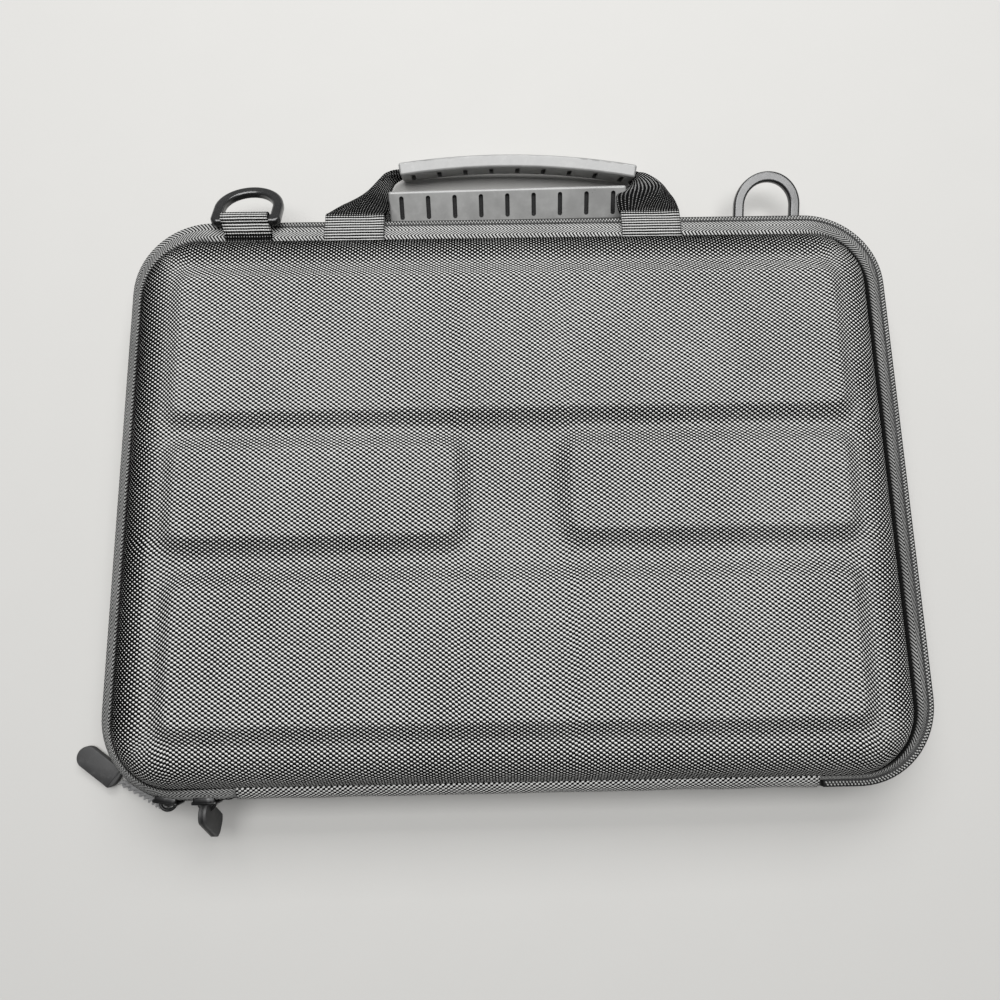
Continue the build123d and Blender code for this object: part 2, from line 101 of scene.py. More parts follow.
class CaseSizes(bpy.types.PropertyGroup):
    """Sizes of the dressed pieces."""

    rim_radius: size("Rim Radius", "Corner radius of the shells' rims", RIM_RADIUS)
    wall_draft: angle("Wall Draft", "Lean of the walls", 25.0, 60.0)
    edge_radius: size("Edge Radius", "Roundness between wall and top", 12.0)
    groove_height: size("Groove Height", "Floor of the grooves above the rim", 12.0)
    panel_rise: size("Panel Rise", "Height of the raised panels", 4.0)
    panel_run: size("Panel Run", "Width of the panels' sloping sides", 7.0)
    weave_warp: size("Warp Pitch", "Width of one warp yarn", 1.1, 0.1)
    weave_weft: size("Weft Pitch", "Width of one weft yarn", 0.81, 0.1)
    tooth_pitch: size("Tooth Pitch", "Distance between zip teeth", 1.3, 0.5)
    webbing_rib: size("Webbing Rib", "Pitch of the ribs across the webbing", 1.28, 0.2)

    def mm(self, name):
        """One of the lengths in millimetres, as the meshes and weaves are drawn."""
        return round(getattr(self, name) / MM, 5)


class CaseColours(bpy.types.PropertyGroup):
    """Base colours of the finishes."""

    # The floats' bright colour is partly their own and partly painted sheen: the nylon is black and its
    # floats shine.
    yarn: colour("Yarn", "Bright floats of the woven cover", (0.58, 0.58, 0.565))
    yarn_gap: colour("Yarn Gap", "Gaps between the floats", (0.004, 0.004, 0.004))
    tape: colour("Zip Tape", "Bright ribs of the zip tape", (0.46, 0.46, 0.45))
    teeth: colour("Teeth", "Zip teeth", (0.38, 0.38, 0.37))
    # The ribs' bright colour is partly their own and partly painted sheen: the webbing is black and its
    # ribs shine.
    webbing: colour("Webbing", "Bright ribs of the webbing", (0.46, 0.46, 0.45))
    grip: colour("Grip", "Moulded handle grips", (0.235, 0.235, 0.23))
    ring: colour("Ring", "Strap rings", (0.013, 0.013, 0.013))
    metal: colour("Slider", "Coated slider metal", (0.014, 0.014, 0.014))
    rubber: colour("Pull", "Rubber pulls", (0.022, 0.022, 0.022))
    lining: colour("Lining", "Brushed lining", (0.035, 0.035, 0.037))
    floor: colour("Floor", "Plain floor", (0.41, 0.405, 0.392))


# ---- materials ----
class Finish:
    """One material's nodes, built step by step."""

    def __init__(self, name, **values):
        self.material = bpy.data.materials.new(name)
        self.material.use_nodes = True
        self.tree = self.material.node_tree
        self.shader = self.tree.nodes["Principled BSDF"]
        for socket, value in values.items():
            self.shader.inputs[socket.replace("_", " ").title().replace("Ior", "IOR")].default_value = value

    def node(self, kind, inputs=None, **settings):
        new = self.tree.nodes.new("ShaderNode" + kind)
        for key, value in settings.items():
            setattr(new, key, value)
        for key, value in (inputs or {}).items():
            if isinstance(value, bpy.types.NodeSocket):
                self.tree.links.new(value, new.inputs[key])
            else:
                new.inputs[key].default_value = value
        return new

    def math(self, operation, *terms, clamp=False):
        return self.node("Math", dict(enumerate(terms)), operation=operation, use_clamp=clamp).outputs[0]

    def ramp(self, value, low, high, start=0.0, end=1.0):
        return self.node(
            "MapRange",
            {"Value": value, "From Min": low, "From Max": high, "To Min": start, "To Max": end},
            interpolation_type="SMOOTHSTEP",
        ).outputs[0]

    def mix(self, share, first, second):
        new = self.node("Mix", data_type="RGBA")
        for socket, value in zip((new.inputs[0], new.inputs[6], new.inputs[7]), (share, first, second)):
            if isinstance(value, bpy.types.NodeSocket):
                self.tree.links.new(value, socket)
            elif hasattr(value, "__len__"):
                socket.default_value = (*value[:3], 1.0)
            else:
                socket.default_value = value
        return new.outputs[2]

    def noise(self, vector, scale, detail=2.0, roughness=0.5):
        return self.node(
            "TexNoise", {"Vector": vector, "Scale": scale, "Detail": detail, "Roughness": roughness}
        ).outputs[0]

    def cloth_space(self):
        """UV as U and V in millimetres along the cloth, and the vector itself."""
        vector = self.node("TexCoord").outputs["UV"]
        parts = self.node("SeparateXYZ", {0: vector}).outputs
        return (self.math("MULTIPLY", parts[0], 1 / MM), self.math("MULTIPLY", parts[1], 1 / MM), vector)

    def object_space(self):
        return self.node("TexCoord").outputs["Object"]

    def shade(self):
        """What the cloth's own shade layer says, 0 on pieces without one."""
        return self.node("Attribute", attribute_name="shade").outputs["Fac"]

    def shine(self, value):
        """Reflection that follows a value, so that gaps reflect less."""
        self.tree.links.new(value, self.shader.inputs["Specular IOR Level"])

    def finish(self, base=None, roughness=None, height=None, depth=0.1, strength=1.0):
        for name, value in (("Base Color", base), ("Roughness", roughness)):
            if value is not None:
                self.tree.links.new(value, self.shader.inputs[name])
        if height is not None:
            bump = self.node("Bump", {"Height": height, "Distance": depth * MM, "Strength": strength})
            self.tree.links.new(bump.outputs[0], self.shader.inputs["Normal"])
        return self.material


def wave(finish, value, pitch):
    """Sine of a length, one full wave per two pitches."""
    return finish.math("SINE", finish.math("MULTIPLY", value, math.pi / pitch))


def crest(finish, value, pitch):
    """Cosine of a length, one full wave per two pitches."""
    return finish.math("COSINE", finish.math("MULTIPLY", value, math.pi / pitch))


def woven_nylon(name, bright, gap, warp, weft, depth=0.5):
    """Plain weave of thick glossy yarns: bright floats, black gaps, and more gap with less reflection where
    the shade layer paints shade.
    """
    cloth = Finish(name, roughness=0.42, ior=1.6)
    u, v, vector = cloth.cloth_space()
    drift = cloth.math("MULTIPLY_ADD", cloth.noise(vector, 55.0, 1.0), 0.9, -0.45)
    wander = cloth.math("MULTIPLY_ADD", cloth.noise(vector, 48.0, 1.0), 0.7, -0.35)
    u = cloth.math("ADD", u, drift)
    v = cloth.math("ADD", v, wander)
    weave = cloth.math("MULTIPLY", wave(cloth, u, warp), wave(cloth, v, weft))
    crossing = cloth.math("MULTIPLY", crest(cloth, u, warp), crest(cloth, v, weft))
    floats = cloth.math("MULTIPLY_ADD", crossing, -0.1, weave)
    along = cloth.node("Mapping", {"Vector": vector, "Scale": (5.0, 0.6, 1.0)}).outputs[0]
    fibre = cloth.noise(along, 900.0, 2.0)
    blotch = cloth.math("MULTIPLY_ADD", cloth.noise(vector, 14.0, 3.0, 0.6), 0.35, -0.175)
    # Painted shade from the cloth's shade layer, on the walls and slopes: it turns floats into gap and dims
    # their reflection.
    painted_slope_shade = cloth.shade()
    lifted = cloth.math("ADD", floats, cloth.math("MULTIPLY_ADD", fibre, 0.8, -0.4))
    lifted = cloth.math("SUBTRACT", cloth.math("ADD", lifted, blotch), cloth.math("MULTIPLY", painted_slope_shade, 0.8))
    share = cloth.ramp(lifted, -0.05, 0.2)
    cloth.shine(cloth.math("MULTIPLY", share, cloth.math("MULTIPLY_ADD", painted_slope_shade, -0.4, 0.45)))
    # The bright floats are partly painted sheen.
    base = cloth.mix(share, gap, bright)
    height = cloth.math("POWER", cloth.math("ABSOLUTE", weave), 0.6)
    return cloth.finish(base, None, height, depth)


def herringbone(name, bright, dark, pitch=1.5, band=3.0):
    """Twill tape whose ribs turn back in chevrons, darkened by painted shade where its shade layer says so.
    """
    cloth = Finish(name, roughness=0.7)
    u, v, vector = cloth.cloth_space()
    fold = cloth.math("PINGPONG", cloth.math("ADD", v, 0.6), band)
    slant = cloth.math("ADD", u, cloth.math("MULTIPLY", fold, 1.1))
    rib = wave(cloth, slant, pitch / 2)
    speck = cloth.math("MULTIPLY_ADD", cloth.noise(vector, 1100.0, 2.0), 1.4, -0.7)
    value = cloth.math("ADD", rib, speck)
    # Painted shade from the shade layer takes the bright ribs away: in the groove under the rim and along
    # the tape's sides.
    sewn = cloth.math("SUBTRACT", 1.0, cloth.shade(), clamp=True)
    tone = cloth.ramp(cloth.noise(vector, 30.0, 2.0), 0.2, 0.8, 0.8, 1.1)
    toned = cloth.math("MULTIPLY", cloth.ramp(value, -0.35, 0.3), tone)
    share = cloth.math("MULTIPLY", toned, sewn, clamp=True)
    cloth.shine(cloth.math("MULTIPLY", share, 0.3))
    return cloth.finish(cloth.mix(share, dark, bright), None, value, 0.2)


def ribbed(name, bright, dark, pitch, cell=1.1, low=-0.25, high=0.45):
    """Webbing with strong ribs across it, broken into small beads by its warp yarns."""
    cloth = Finish(name, roughness=0.5)
    u, v, vector = cloth.cloth_space()
    v = cloth.math("ADD", v, cloth.math("MULTIPLY_ADD", cloth.noise(vector, 120.0, 1.0), 0.3, -0.15))
    # Where the shade layer paints shade, the ribs fade into small beads and the webbing goes darker.
    shade = cloth.shade()
    rib = cloth.math("MULTIPLY", wave(cloth, v, pitch / 2), cloth.math("MULTIPLY_ADD", shade, -0.5, 1.0))
    bead = cloth.math("MULTIPLY", wave(cloth, u, cell / 2), cloth.math("MULTIPLY_ADD", shade, 0.5, 0.22))
    speck = cloth.noise(vector, 1500.0, 2.0)
    value = cloth.math("ADD", cloth.math("ADD", bead, rib), cloth.math("MULTIPLY_ADD", speck, 0.8, -0.4))
    value = cloth.math("SUBTRACT", value, shade)
    share = cloth.ramp(value, low, high)
    cloth.shine(cloth.math("MULTIPLY", share, 0.5))
    # The bright ribs are partly painted sheen.
    return cloth.finish(cloth.mix(share, dark, bright), None, value, 0.3)


def moulded(name, base, roughness, grain=0.03, scale=900.0, dust=0.1, **values):
    """Moulded plastic, rubber or coated metal: fine grain, faint scuffs and uneven gloss."""
    stuff = Finish(name, roughness=roughness, **values)
    place = stuff.object_space()
    fine = stuff.noise(place, scale, 3.0)
    broad = stuff.noise(place, 60.0, 4.0, 0.65)
    scuff = stuff.ramp(stuff.noise(place, 220.0, 5.0, 0.7), 0.52, 0.75)
    darker, lighter = [c * 0.82 for c in base], [min(1, c * 1.12) for c in base]
    tint = stuff.mix(stuff.ramp(broad, 0.3, 0.75), darker, lighter)
    tint = stuff.mix(stuff.math("MULTIPLY", scuff, dust), tint, [min(1, c * 1.6 + 0.08) for c in base])
    gloss = stuff.ramp(broad, 0.25, 0.8, roughness * 0.8, min(1, roughness * 1.25))
    return stuff.finish(tint, gloss, fine, grain)


def knitted(name, base):
    """Brushed knit lining."""
    cloth = Finish(name, roughness=0.95, sheen_weight=0.5)
    place = cloth.object_space()
    brushed = cloth.node("Mapping", {"Vector": place, "Scale": (1, 2.6, 1)}).outputs[0]
    nap = cloth.noise(brushed, 1100.0, 3.0, 0.7)
    broad = cloth.noise(place, 25.0, 2.0)
    tint = cloth.mix(nap, [c * 0.5 for c in base], [c * 1.9 for c in base])
    tint = cloth.mix(cloth.ramp(broad, 0.3, 0.8, 0.0, 0.35), tint, [c * 2.2 for c in base])
    return cloth.finish(tint, None, nap, 0.3)


def foam(name, base):
    """Cut edge of closed-cell foam."""
    stuff = Finish(name, roughness=0.85)
    cells = stuff.node("TexVoronoi", {"Vector": stuff.object_space(), "Scale": 1400.0}).outputs[0]
    tint = stuff.mix(stuff.ramp(cells, 0.1, 0.7), [c * 0.4 for c in base], [c * 1.4 for c in base])
    return stuff.finish(tint, None, cells, 0.15)


FINISHES = {}


# ---- mesh helpers ----
def new_piece(name, mesh_data, finish, slot, body=None, replaces=(), thickness=0.0, offset=-1.0):
    """Turns a bmesh in millimetres into a finished piece of the case."""
    bmesh.ops.scale(mesh_data, vec=(MM, MM, MM), verts=mesh_data.verts)
    mesh = bpy.data.meshes.new(name)
    mesh_data.to_mesh(mesh)
    mesh_data.free()
    piece = bpy.data.objects.new(name, mesh)
    bpy.context.scene.collection.objects.link(piece)
    mesh.materials.append(FINISHES[finish])
    for face in mesh.polygons:
        face.use_smooth = True
    if thickness:
        wall = piece.modifiers.new("Thickness", "SOLIDIFY")
        wall.thickness = thickness * MM
        wall.offset = offset
    if replaces:
        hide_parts(*replaces)
    if body:
        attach(piece, body)
    return piece


def sheet(columns, rows, place, cloth=None, flip=False, shade=None):
    """Grid of cloth whose corner (i, j) goes to place(i, j), with its UV in metres.

    cloth(i, j) gives the UV in millimetres; without it the UV follows the lengths of the surface.
    shade(corner, i, j) gives the painted shade of the cloth there, from 0 to 1.
    """
    mesh_data = bmesh.new()
    bmesh.ops.create_grid(mesh_data, x_segments=columns, y_segments=rows, size=1.0)
    # Layer of painted shade, read by the finishes as the shade attribute.
    painted_shade_layer = mesh_data.verts.layers.float.new("shade") if shade else None
    index = {}
    for vertex in mesh_data.verts:
        i = round((vertex.co.x + 1) / 2 * columns)
        j = round((vertex.co.y + 1) / 2 * rows)
        index[vertex] = (i, j)
        vertex.co = place(i, j)
    if cloth is None:
        spots = {key: vertex.co for vertex, key in index.items()}
        cloth = surface_lengths(spots, columns, rows)
    layer = mesh_data.loops.layers.uv.new("UVMap")
    for face in mesh_data.faces:
        for loop in face.loops:
            u, v = cloth(*index[loop.vert])
            loop[layer].uv = (u * MM, v * MM)
    if shade:
        mesh_data.normal_update()
        for vertex, key in index.items():
            vertex[painted_shade_layer] = shade(vertex, *key)
    if flip:
        bmesh.ops.reverse_faces(mesh_data, faces=mesh_data.faces)
    return mesh_data


def surface_lengths(spots, columns, rows):
    """UV that counts the length along each row and column from the sheet's middle."""
    u, v = {}, {}
    for j in range(rows + 1):
        lengths = run_lengths([spots[(i, j)] for i in range(columns + 1)])
        u.update({(i, j): length - lengths[columns // 2] for i, length in enumerate(lengths)})
    for i in range(columns + 1):
        lengths = run_lengths([spots[(i, j)] for j in range(rows + 1)])
        v.update({(i, j): length - lengths[rows // 2] for j, length in enumerate(lengths)})
    return lambda i, j: (u[(i, j)], v[(i, j)])


def spline_point(points, share):
    """Point at a share of a smooth curve through the given points."""
    spans = len(points) - 1
    at = min(max(share, 0.0), 1.0) * spans
    k = min(int(at), spans - 1)
    t = at - k
    p1, p2 = Vector(points[k]), Vector(points[k + 1])
    p0 = Vector(points[k - 1]) if k else p1 * 2 - p2
    p3 = Vector(points[k + 2]) if k + 2 <= spans else p2 * 2 - p1
    bend, twist = 2 * p0 - 5 * p1 + 4 * p2 - p3, 3 * p1 - p0 - 3 * p2 + p3
    return 0.5 * (2 * p1 + (p2 - p0) * t + bend * t * t + twist * t ** 3)


def run_lengths(spots):
    """Length along a run of points up to each of them."""
    lengths = [0.0]
    for before, after in zip(spots, spots[1:]):
        lengths.append(lengths[-1] + (after - before).length)
    return lengths


def smooth(value, low, high):
    """0 below low, 1 above high, and an even S curve between."""
    t = min(max((value - low) / (high - low), 0.0), 1.0)
    return t * t * (3 - 2 * t)


# ---- outlines in plan ----
class Outline:
    """Rounded rectangle followed clockwise from above, from one X of its hinge side to another."""

    def __init__(self, low, high, radius, start_x, end_x):
        left, right, near, far = low[0] + radius, high[0] - radius, low[1] + radius, high[1] - radius
        self.radius = radius
        self.parts = [
            ("line", (start_x, low[1]), (left, low[1]), (0, -1)),
            ("arc", (left, near), 270),
            ("line", (low[0], near), (low[0], far), (-1, 0)),
            ("arc", (left, far), 180),
            ("line", (left, high[1]), (right, high[1]), (0, 1)),
            ("arc", (right, far), 90),
            ("line", (high[0], far), (high[0], near), (1, 0)),
            ("arc", (right, near), 0),
            ("line", (right, low[1]), (end_x, low[1]), (0, -1)),
        ]

    def lengths(self):
        return [
            math.dist(part[1], part[2]) if part[0] == "line" else self.radius * math.pi / 2
            for part in self.parts
        ]

    def station(self, distance):
        """(part, share of it) at a distance from the start."""
        for number, length in enumerate(self.lengths()):
            if distance <= length or number == len(self.parts) - 1:
                return number, min(distance / length, 1.0)
            distance -= length

    def at(self, station, inset):
        """Point of the outline drawn in by inset, and its outward normal."""
        part = self.parts[station[0]]
        if part[0] == "line":
            x = part[1][0] + (part[2][0] - part[1][0]) * station[1]
            y = part[1][1] + (part[2][1] - part[1][1]) * station[1]
            out = part[3]
            return (x - out[0] * inset, y - out[1] * inset), out
        turn = math.radians(part[2] - 90 * station[1])
        out = (math.cos(turn), math.sin(turn))
        reach = self.radius - inset
        return (part[1][0] + reach * out[0], part[1][1] + reach * out[1]), out


STRIP_X = (STRIP_LOW[0], STRIP_HIGH[0])
ZIP_RUN = Outline(ZIP_LOW, ZIP_HIGH, ZIP_RADIUS, *STRIP_X)
RIM_RUN = Outline(RIM_LOW, RIM_HIGH, RIM_RADIUS, *STRIP_X)
ZIP_LENGTH = sum(ZIP_RUN.lengths())
# The last length of the front zip, by the hinge, stays with the back shell as the lid opens.
END_LENGTH = ZIP_RUN.lengths()[0] + ZIP_RADIUS * math.radians(25)


def mirrored(z, flipped):
    return 2 * PARTING - z if flipped else z


# ---- covers ----
# Left, right, near and far edge of each raised panel.
FRONT_PANELS = (
    (-131.0, 127.5, 26.5, 82.0),
    (-129.5, -24.0, -22.0, 11.5),
    (21.0, 125.5, -21.0, 11.5),
    (-127.5, 123.5, -90.5, -40.5),
)
BACK_PANELS = ((-129.0, 125.0, -90.5, 82.0),)
PANEL_CORNER, EASE_TOP, EASE_FOOT = 4.0, 0.7, 2.6
RIPPLE_WIDTH, RIPPLE_RISE = 38.0, 0.25


def outside_by(x, y, panel, corner):
    """Distance outside a rounded rectangle, negative inside it."""
    left, right, near, far = panel
    dx = abs(x - (left + right) / 2) - (right - left) / 2 + corner
    dy = abs(y - (near + far) / 2) - (far - near) / 2 + corner
    return math.hypot(max(dx, 0), max(dy, 0)) + min(max(dx, dy), 0) - corner


def soft_step(distance, run, rise, round_top, round_foot):
    """Height of a sloping side at a distance from its upper edge, with eased edges."""
    slope = rise / run
    height = rise - slope * distance
    if distance < round_top:
        t = (distance + round_top) / (2 * round_top)
        height = rise - slope * round_top * max(t, 0) ** 2 if t > 0 else rise
    elif distance > run - round_foot:
        t = (run + round_foot - distance) / (2 * round_foot)
        height = slope * round_foot * max(t, 0) ** 2 if t > 0 else 0.0
    return height


def spread(low, high, dense, fine, coarse):
    """Grid lines from low to high, closer together inside the dense stretches."""
    lines = [low]
    while lines[-1] < high - coarse * 0.6:
        here = lines[-1]
        near = any(a - fine <= here < b for a, b in dense)
        ahead = [a for a, _ in dense if here < a - 1e-6]
        step = fine if near else coarse
        if not near and ahead:
            step = min(step, max(min(ahead) - here, fine))
        lines.append(here + step)
    lines[-1] = high
    return lines


def cover_mesh(sizes, panels, flipped):
    draft, bend = sizes.wall_draft, sizes.mm("edge_radius")
    turn = math.radians(90) - draft
    top = sizes.mm("groove_height")
    corner_inset = top * math.tan(draft)
    flat_inset = corner_inset + bend * math.tan(turn / 2)
    start_inset = corner_inset - bend * math.tan(turn / 2) * math.sin(draft)
    wall = [start_inset * k / 5 for k in range(6)]
    wall += [flat_inset - bend * math.sin(turn * (1 - k / 10)) for k in range(1, 11)]
    run, rise, radius = sizes.mm("panel_run"), sizes.mm("panel_rise"), sizes.mm("rim_radius")
    lows, highs = RIM_LOW, RIM_HIGH
    outside, inside = 1.5, 2.5  # how far the dense lines go past a panel's sloping side

    def lines(axis):
        edges = []
        for panel in panels:
            edges += [(panel[2 * axis] - run - outside, panel[2 * axis] + inside)]
            edges += [(panel[2 * axis + 1] - inside, panel[2 * axis + 1] + run + outside)]
        low, high = lows[axis], highs[axis]
        middle = spread(low + flat_inset, high - flat_inset, edges, fine=1.0, coarse=3.0)
        return [low + w for w in wall[:-1]] + middle + [high - w for w in reversed(wall[:-1])]

    xs, ys = lines(0), lines(1)

    def place(i, j):
        x, y = xs[i], ys[j]
        inset = min(x - lows[0], highs[0] - x, y - lows[1], highs[1] - y)
        cx = lows[0] + radius if x < 0 else highs[0] - radius
        cy = lows[1] + radius if y < 0 else highs[1] - radius
        a, b = x - cx, y - cy
        if (a < 0) == (x < 0) and (b < 0) == (y < 0) and a and b:
            share = max(abs(a), abs(b)) / math.hypot(a, b)
            x, y = cx + a * share, cy + b * share
        if inset < start_inset:
            z = inset / math.tan(draft)
        elif inset < flat_inset:
            z = top - bend + math.sqrt(max(bend ** 2 - (flat_inset - inset) ** 2, 0))
        else:
            z = top
        for panel in panels:
            gap = outside_by(x, y, panel, PANEL_CORNER)
            if gap < run + EASE_FOOT:
                z += soft_step(gap, run, rise, EASE_TOP, EASE_FOOT)
        ripple = noise.noise(Vector((x, y, 7.0)) / RIPPLE_WIDTH) * RIPPLE_RISE
        z += ripple * smooth(inset, 4, 20)
        return Vector((x, y, mirrored(RIM_Z + z, flipped)))

    def painted_slope_shade(corner, i, j):
        """Painted shade: most on the walls, then on the slopes that face the hinge; walls that face the
        hinge or the right get less.
        """
        x, y = corner.co.x, corner.co.y
        inset = min(x - lows[0], highs[0] - x, y - lows[1], highs[1] - y)
        lean = smooth(math.degrees(math.acos(min(1.0, abs(corner.normal.z)))), 0, 50)
        wall = smooth(flat_inset + 5.5 - inset, 0, 9)
        level = max(math.hypot(corner.normal.x, corner.normal.y), 1e-6)
        hinge, right = max(0.0, -corner.normal.y) / level, max(0.0, corner.normal.x) / level
        walls = wall * (0.5 + 0.5 * lean) * (1 - 0.65 * hinge - 0.5 * right)
        return max(lean * (0.22 + 0.12 * hinge), walls)

    return sheet(len(xs) - 1, len(ys) - 1, place, flip=flipped, shade=painted_slope_shade)


class CASE_OT_covers(bpy.types.Operator):
    """Woven cover of each moulded shell"""

    bl_idname = "case.covers"
    bl_label = "Woven Covers"

    def execute(self, context):
        sizes = context.scene.case_sizes
        for half, panels, body in (("front", FRONT_PANELS, "lid"), ("back", BACK_PANELS, "base")):
            mesh_data = cover_mesh(sizes, panels, half == "back")
            new_piece(
                f"{half}_cover_weave", mesh_data, "cover", "woven_cover", body,
                (f"{half}_cover",), thickness=0.8,
            )
        return {"FINISHED"}


# ---- zip ----
TAPE_TOP, TAPE_FOOT, TAPE_WIDTH = 27.2, 25.0, 8.5  # heights at the rim and at the teeth, and width
TEETH_ROWS = ((1.75, 24.7), (0.85, 24.3))  # inset from the zip's outline, and height
TOOTH_SIDES, TOOTH_SLANT, TOOTH_EDGE = (0.7, 0.52, 1.3), 28, 0.16  # the slant in degrees
ZIP_STOP = 2.6  # where the teeth give way to a stop beside the hinge
TWIST_START, TWIST_END = (-0.108, -0.118, 0.022), (-0.141, -0.115, 0.022)  # metres


def overhang(x):
    """How far the tape bulges over the teeth: fully round the left end."""
    return smooth(-x, 98.0, 112.0)


def tape_mesh(first, last, flipped, step):
    """Sloping tape between two distances along the zip, from under the rim to the teeth."""
    columns = max(2, round((last - first) / step))
    shares = [-0.45, -0.12, 0.0, 0.06, 0.14, 0.25, 0.38, 0.52, 0.66, 0.8, 0.92, 1.0]
    tuck, foot_inset = 7, 2.7

    def place(i, j):
        distance = first + (last - first) * i / columns
        station = ZIP_RUN.station(distance)
        share = shares[j]
        (rx, ry), out = RIM_RUN.at(station, 0.0)
        (zx, zy), _ = ZIP_RUN.at(station, foot_inset)
        (zx, zy), _ = ZIP_RUN.at(station, foot_inset - 2.4 * overhang(zx))
        lift = noise.noise(Vector((distance / 24.0, 3.0 if flipped else 1.0, 0))) * 0.3
        if share < 0:
            under = share * tuck
            return Vector((rx + out[0] * under, ry + out[1] * under, mirrored(TAPE_TOP + 0.2, flipped)))
        bulge = (1.1 + lift) * math.sin(math.pi * share ** 0.85) * smooth(share, 0.0, 0.25)
        z = TAPE_TOP + (TAPE_FOOT - TAPE_TOP) * share ** 1.3 + bulge
        return Vector((rx + (zx - rx) * share, ry + (zy - ry) * share, mirrored(z, flipped)))

    def cloth(i, j):
        return first + (last - first) * i / columns, shares[j] * TAPE_WIDTH

    # Painted shade in the groove under the cover's rim, widest on the right where the rim overhangs; the
    # tape is also painted darker along its right and left sides.
    def painted_rim_shade(corner, i, j):
        right, left = smooth(corner.co.x, 120.0, 145.0), smooth(-corner.co.x, 110.0, 140.0)
        width = 0.05 + 0.33 * right + 0.14 * left
        return max(1 - smooth(shares[j], width * 0.6, width * 1.4), 0.35 * right, 0.3 * left)

    return sheet(columns, len(shares) - 1, place, cloth, flip=flipped, shade=painted_rim_shade)


def teeth_mesh(first, last, pitch, flipped):
    """Two staggered rows of slanted beads between two distances along the zip."""
    mesh_data = bmesh.new()
    count = int((last - first) / pitch)
    phase = pitch / 2 if flipped else 0.0
    for k in range(2 * count):
        distance = first + pitch * (k + 1) / 2 + phase
        if distance > last - pitch / 3:
            continue
        inset, z = TEETH_ROWS[k % 2]
        (x, y), out = ZIP_RUN.at(ZIP_RUN.station(distance), inset)
        turn = math.atan2(out[1], out[0])
        place = (
            Matrix.Translation((x, y, mirrored(z, flipped)))
            @ Matrix.Rotation(turn + math.radians(TOOTH_SLANT), 4, "Z")
            @ Matrix.Diagonal((*TOOTH_SIDES, 1.0))
        )
        bmesh.ops.create_cube(mesh_data, size=1.0, matrix=place)
    bmesh.ops.bevel(
        mesh_data, geom=mesh_data.edges[:], offset=TOOTH_EDGE, segments=1, profile=0.5,
        affect="EDGES", material=-1,
    )
    return mesh_data


def core_mesh(first, last, flipped, step):
    """Dark cord that the teeth of one side are wound on."""
    columns = max(2, round((last - first) / step))
    section = [(3.0, 24.7), (2.2, 24.9), (1.2, 24.6), (0.0, 24.4), (0.0, 22.25), (2.5, 22.25)]

    def place(i, j):
        inset, z = section[j]
        (x, y), _ = ZIP_RUN.at(ZIP_RUN.station(first + (last - first) * i / columns), inset)
        return Vector((x, y, mirrored(z, flipped)))

    return sheet(columns, len(section) - 1, place, flip=flipped)


class CASE_OT_zip(bpy.types.Operator):
    """Zip tapes and teeth of both shells"""

    bl_idname = "case.zip"
    bl_label = "Zip"

    def execute(self, context):
        pitch = context.scene.case_sizes.mm("tooth_pitch")
        stretches = (
            ("back", "", 0, ZIP_LENGTH, "base"),
            ("front", "", END_LENGTH, ZIP_LENGTH, "lid"),
            ("front", "_end", 0, END_LENGTH, None),
        )
        for half, end, first, last, body in stretches:
            flipped = half == "back"
            step = 1.5 if end else 3.0
            low, high = max(first, ZIP_STOP), min(last, ZIP_LENGTH - ZIP_STOP)
            tape_node, coil_node = f"{half}_tape{end}", f"{half}_coil{end}"
            tape = new_piece(
                f"{tape_node}_weave", tape_mesh(first, last, flipped, step), "tape", "zip_tape", body,
                (tape_node,), thickness=0.5,
            )
            teeth = new_piece(
                f"{half}_teeth{end}", teeth_mesh(low, high, pitch, flipped), "teeth", "zip_coil", body,
                (coil_node,),
            )
            core = new_piece(
                f"{coil_node}_core", core_mesh(low, high, flipped, step), "core", "zip_coil", body,
                (coil_node,), thickness=0.3,
            )
            if end:
                for piece in (tape, teeth, core):
                    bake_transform(piece)
                    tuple(TWIST_START)
                    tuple(TWIST_END)
        return {"FINISHED"}


# ---- fabric hinge ----
# (Y, Z) of each strip's upper half, from where it is sewn down to mid height.
STRIP_PROFILE = (
    (-109.5, 28.0), (-112.6, 28.15), (-114.6, 28.0), (-116.6, 26.4), (-117.9, 24.2), (-118.1, PARTING),
)
LINING_PROFILE = ((-106.8, 25.6), (-110.5, 25.5), (-113.6, 24.8), (-115.4, 23.6), (-115.9, PARTING))
BEND_LOW, BEND_HIGH = (0, -0.118, 0.0195), (0, -0.118, 0.0245)  # metres


def hinge_mesh(profile, step=2.5):
    """Strip along the hinge, and its flat size.

    Its section runs through the (Y, Z) points of profile, the last at mid height, and their mirror.
    """
    width = STRIP_X[1] - STRIP_X[0]
    columns, rows = round(width / step), 24
    points = [(0.0, y, z) for y, z in profile] + [(0.0, y, mirrored(z, True)) for y, z in profile[-2::-1]]
    spots = [spline_point(points, j / rows) for j in range(rows + 1)]

    def place(i, j):
        spot = spots[j]
        x = STRIP_X[0] + width * i / columns
        wave_out = noise.noise(Vector((x / 17.0, j / 9.0, 2.0))) * 0.25
        return Vector((x, spot.y - wave_out, spot.z))

    flat = (width * MM, run_lengths(spots)[-1] * MM)
    return sheet(columns, rows, place), flat


